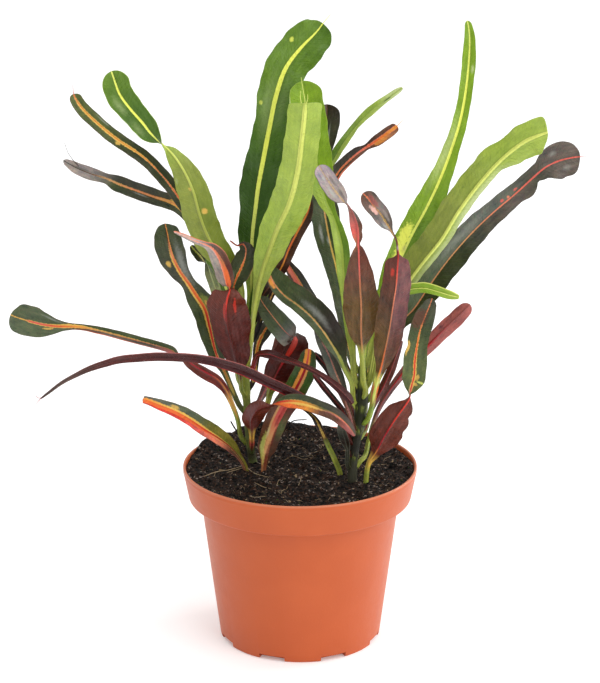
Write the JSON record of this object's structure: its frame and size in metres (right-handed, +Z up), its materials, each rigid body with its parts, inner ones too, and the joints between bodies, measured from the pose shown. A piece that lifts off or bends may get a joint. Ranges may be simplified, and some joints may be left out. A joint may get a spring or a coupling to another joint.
{
  "type": "potted croton",
  "caption": "Young narrow-leaved croton with green, orange and maroon twisted leaves on two stems, in a terracotta-coloured plastic pot filled with peat.",
  "frame": {"origin": "centre of the pot's base, on the surface that it stands on", "axes": "+Z up along the pot's axis, +X to the viewer's right and +Y away from the viewer of the plant's front"},
  "size_m": [0.3171, 0.1636, 0.3432],
  "materials": {
    "pot": "matt injection-moulded terracotta-orange plastic",
    "soil": "damp dark peat with tan fibres and pale specks",
    "stem_green": "smooth young green stem with pale leaf scars",
    "stem_bark": "dark brown young bark with green nodes",
    "leaf_fresh": "fresh green glossy leaf with yellow midrib and a pale yellow-green underside",
    "leaf_dark": "dark green glossy leaf with orange-red midrib and yellow spots, maroon underside",
    "leaf_ember": "leaf with a wide orange and salmon band between green and brown margins",
    "leaf_wine": "maroon glossy leaf with red midrib",
    "leaf_olive": "olive to purple-grey leaf with salmon midrib",
    "leaf_plum": "purple-brown leaf with salmon midrib and a red spot"
  },
  "bodies": {
    "root": {"pot": "pot", "soil": "soil", "stem_left": "stem_green", "stem_right": "stem_bark", "leaf_tall_centre": "leaf_fresh", "leaf_front_pale": "leaf_fresh", "leaf_left_spoon": "leaf_fresh", "leaf_centre_green": "leaf_fresh", "leaf_far_green": "leaf_fresh", "leaf_tall_right": "leaf_fresh", "leaf_right_pale": "leaf_fresh", "leaf_right_bright": "leaf_fresh", "leaf_back_centre": "leaf_fresh", "leaf_back_left_high": "leaf_fresh", "leaf_back_right_high": "leaf_fresh", "leaf_left_amber": "leaf_dark", "leaf_left_pale_tip": "leaf_dark", "leaf_left_dark_spoon": "leaf_dark", "leaf_left_hood": "leaf_dark", "leaf_left_slim": "leaf_dark", "leaf_centre_dark": "leaf_dark", "leaf_far_amber": "leaf_dark", "leaf_right_long_dark": "leaf_dark", "leaf_low_grey": "leaf_dark", "leaf_mid_grey": "leaf_dark", "leaf_mid_glossy": "leaf_dark", "leaf_mid_pink": "leaf_dark", "leaf_mid_orange_edge": "leaf_dark", "leaf_mid_small": "leaf_dark", "leaf_low_edge_on": "leaf_dark", "leaf_back_left": "leaf_dark", "leaf_back_right": "leaf_dark", "leaf_back_middle": "leaf_dark", "leaf_front_crossing": "leaf_ember", "leaf_front_salmon": "leaf_ember", "leaf_low_spoon": "leaf_ember", "leaf_low_cut": "leaf_ember", "leaf_left_folded": "leaf_wine", "leaf_front_waisted": "leaf_wine", "leaf_right_rose": "leaf_wine", "leaf_right_purple": "leaf_wine", "leaf_mid_folded": "leaf_wine", "leaf_low_strap": "leaf_wine", "leaf_mid_red": "leaf_wine", "leaf_mid_dark": "leaf_wine", "leaf_mid_black": "leaf_wine", "leaf_back_low": "leaf_wine", "leaf_right_twisted": "leaf_olive", "leaf_right_threaded": "leaf_plum"}
  },
  "joints": []
}
